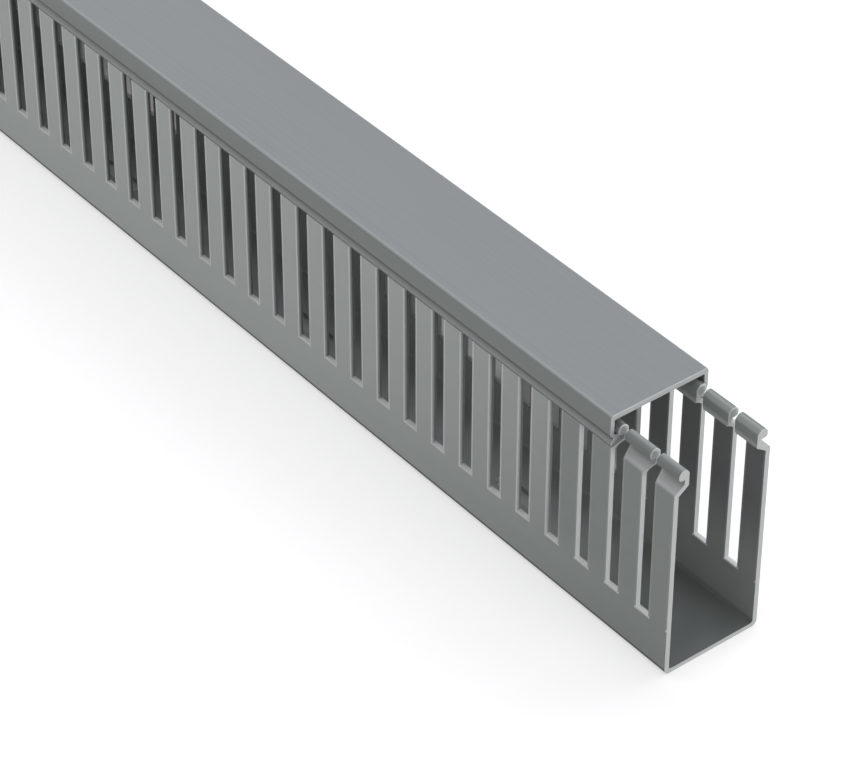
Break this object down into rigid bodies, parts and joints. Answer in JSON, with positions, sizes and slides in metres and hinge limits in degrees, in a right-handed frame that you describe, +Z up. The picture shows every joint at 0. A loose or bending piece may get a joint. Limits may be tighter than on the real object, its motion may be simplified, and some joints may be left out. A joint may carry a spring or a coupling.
{
  "type": "slotted wire duct",
  "caption": "Grey slotted wire duct: a U channel with fingered side walls, hooked finger heads and a clip-fit cover that slides along it.",
  "frame": {"origin": "middle of the underside of the channel's floor", "axes": "+X along the duct towards the end where the cover is set back, +Y across, +Z up out of the channel's mouth"},
  "size_m": [1.025, 0.0338, 0.0731],
  "materials": {
    "channel_plastic": "matte extruded rigid plastic",
    "cover_plastic": "matte extruded rigid plastic"
  },
  "bodies": {
    "channel": {"duct_base": "channel_plastic"},
    "cover": {"duct_cover": "cover_plastic"}
  },
  "joints": [
    {"name": "cover_slide", "type": "slide", "parent": "channel", "child": "cover", "axis": [1, 0, 0], "range_m": [-0.95, 0.025]}
  ]
}
